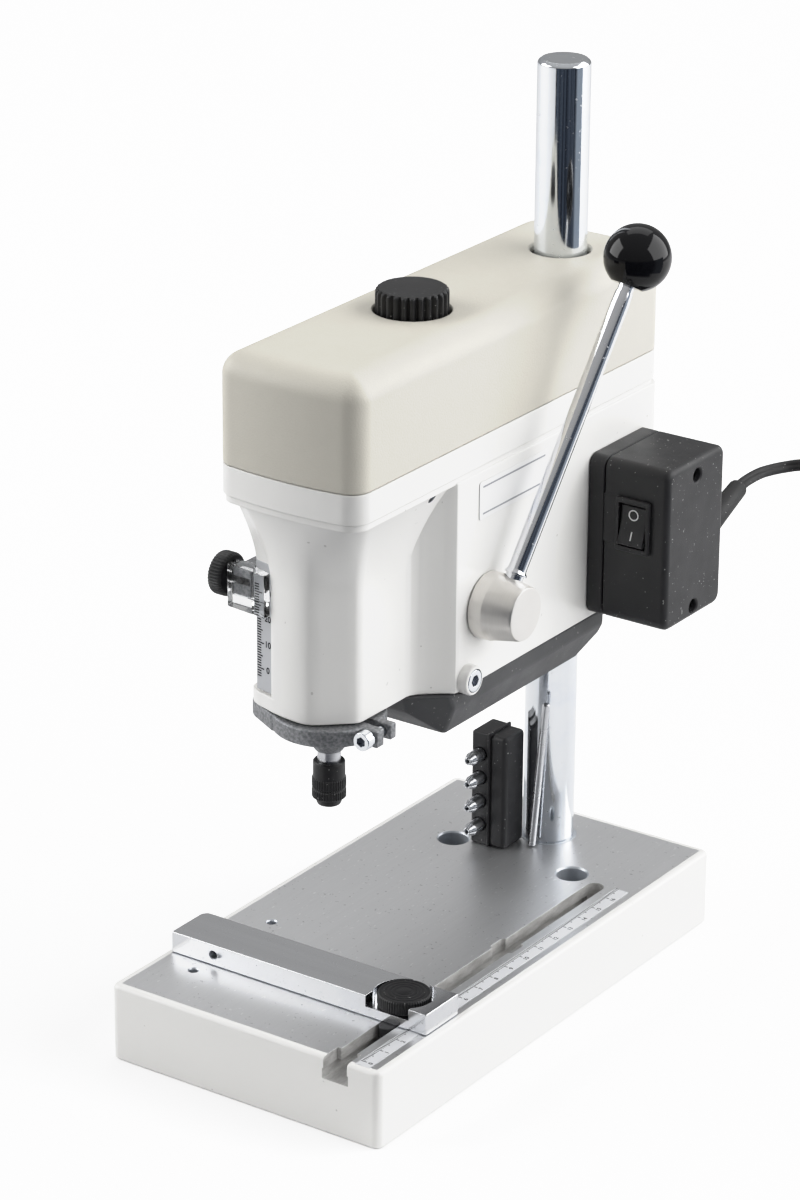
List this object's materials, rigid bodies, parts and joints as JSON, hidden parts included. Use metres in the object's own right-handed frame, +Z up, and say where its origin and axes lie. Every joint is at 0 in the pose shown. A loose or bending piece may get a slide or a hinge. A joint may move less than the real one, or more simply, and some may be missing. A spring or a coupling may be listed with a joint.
{
  "type": "bench drill press",
  "caption": "Small precision bench drill press: slotted base with sliding fence, round column, belt-driven head with lever-fed quill, depth stop, switch box and lift-off belt cover.",
  "frame": {"origin": "on the bench, at the middle of the base's rectangular footprint", "axes": "+Z up along the column, -Y towards the operator (the spindle side), +X to the operator's right (the lever and switch side)"},
  "size_m": [0.136, 0.278, 0.344],
  "materials": {
    "paint": "off-white gloss paint on a casting",
    "column_steel": "bright zinc or chrome plating",
    "steel": "turned or drawn steel",
    "fence_steel": "ground and polished",
    "cover": "warm grey, fine satin texture",
    "black": "black, fine texture",
    "gloss": "polished black",
    "dark": "dark grey moulding",
    "cast": "sand-cast skin, grey",
    "alu": "satin turned aluminium",
    "clear": "clear acrylic",
    "strip": "anodised strip with printed marks",
    "rubber": "black flexible",
    "copper": "windings and laminations"
  },
  "bodies": {
    "base": {"base_casting": "paint", "column": "column_steel", "column_screw": "steel", "fence_scale": "strip", "collet_case": "black", "spare_collet_1": "steel", "spare_collet_2": "steel", "spare_collet_3": "steel", "spare_collet_4": "steel", "tommy_bar": "steel"},
    "fence": {"fence": "fence_steel", "fence_bolt": "steel"},
    "fence_knob": {"fence_knob": "black"},
    "bush": {"column_bush": "alu"},
    "head": {"head_housing": "paint", "motor_casing": "dark", "casing_screw_right": "column_steel", "casing_screw_left": "column_steel", "head_clamp_screw": "column_steel", "side_label": "strip", "depth_scale": "strip", "drive_belt": "rubber", "motor_can": "steel", "pulley_bearing": "steel", "feed_bush_right": "alu", "feed_bush_left": "alu", "return_spring": "steel", "cover_stud": "steel", "switch_box_base": "black", "switch_box_cover": "black", "switch_box_screw_low": "black", "switch_box_screw_high": "black", "switch_frame": "black", "cable_gland": "rubber", "power_cable": "rubber"},
    "cover": {"belt_cover": "cover"},
    "cover_knob": {"cover_knob": "black"},
    "lever": {"feed_shaft": "steel", "feed_sector": "steel", "lever_hub": "alu", "lever_rod": "column_steel", "lever_ball": "gloss"},
    "quill": {"quill": "steel", "quill_rack": "steel", "quill_cap": "cast", "bearing_lower": "steel", "bearing_upper": "steel", "stop_arm": "cast", "stop_arm_screw": "column_steel", "depth_rod": "steel"},
    "stop": {"stop_clamp": "cast", "stop_block": "clear"},
    "stop_screw": {"stop_screw": "black"},
    "spindle": {"spindle": "steel", "collet": "steel"},
    "collet_nut": {"collet_nut": "black"},
    "pulley": {"spindle_pulley": "alu"},
    "motor": {"motor_rotor": "copper", "motor_pulley": "alu"},
    "rocker": {"switch_rocker": "black"}
  },
  "joints": [
    {"name": "fence_slide", "type": "slide", "parent": "base", "child": "fence", "axis": [0, 1, 0], "range_m": [-0.028, 0.11]},
    {"name": "fence_knob_turn", "type": "hinge", "parent": "fence", "child": "fence_knob", "pos_m": [0.041, -0.0695, 0.037], "axis": [0, 0, 1], "range_deg": [0, 180]},
    {"name": "head_height", "type": "slide", "parent": "base", "child": "bush", "axis": [0, 0, 1], "range_m": [-0.02, 0.065]},
    {"name": "head_swivel", "type": "hinge", "parent": "bush", "child": "head", "pos_m": [0, 0.0887, 0.18], "axis": [0, 0, 1], "range_deg": [-90, 90]},
    {"name": "cover_lift", "type": "slide", "parent": "head", "child": "cover", "axis": [0, 0, 1], "range_m": [0, 0.06]},
    {"name": "cover_knob_turn", "type": "hinge", "parent": "cover", "child": "cover_knob", "pos_m": [-0.0046, -0.0018, 0.27], "axis": [0, 0, 1], "range_deg": [0, 180]},
    {"name": "lever_turn", "type": "hinge", "parent": "head", "child": "lever", "pos_m": [0, 0.0018, 0.1632], "axis": [1, 0, 0], "range_deg": [0, 42.97]},
    {"name": "quill_feed", "type": "slide", "parent": "head", "child": "quill", "axis": [0, 0, -1], "range_m": [0, 0.03]},
    {"name": "stop_slide", "type": "slide", "parent": "quill", "child": "stop", "axis": [0, 0, 1], "range_m": [-0.028, 0.003]},
    {"name": "stop_screw_turn", "type": "hinge", "parent": "stop", "child": "stop_screw", "pos_m": [-0.04, -0.0644, 0.181], "axis": [1, 0, 0], "range_deg": [0, 180]},
    {"name": "spindle_spin", "type": "hinge", "parent": "quill", "child": "spindle", "pos_m": [-0.0046, -0.0526, 0.15], "axis": [0, 0, 1], "continuous": true},
    {"name": "collet_nut_turn", "type": "hinge", "parent": "spindle", "child": "collet_nut", "pos_m": [-0.0046, -0.0526, 0.104], "axis": [0, 0, 1], "range_deg": [0, 180]},
    {"name": "pulley_spin", "type": "hinge", "parent": "head", "child": "pulley", "pos_m": [-0.0046, -0.0526, 0.24], "axis": [0, 0, 1], "continuous": true},
    {"name": "motor_spin", "type": "hinge", "parent": "head", "child": "motor", "pos_m": [-0.0046, 0.038, 0.2], "axis": [0, 0, 1], "continuous": true},
    {"name": "rocker_tilt", "type": "hinge", "parent": "head", "child": "rocker", "pos_m": [0.0469, 0.0705, 0.1768], "axis": [1, 0, 0], "range_deg": [0, 20]}
  ],
  "couplings": [
    {"joint": "quill_feed", "follows": "lever_turn", "m_per_rad": 0.04},
    {"joint": "pulley_spin", "follows": "motor_spin", "ratio": 1.2059},
    {"joint": "spindle_spin", "follows": "motor_spin", "ratio": 1.2059}
  ]
}
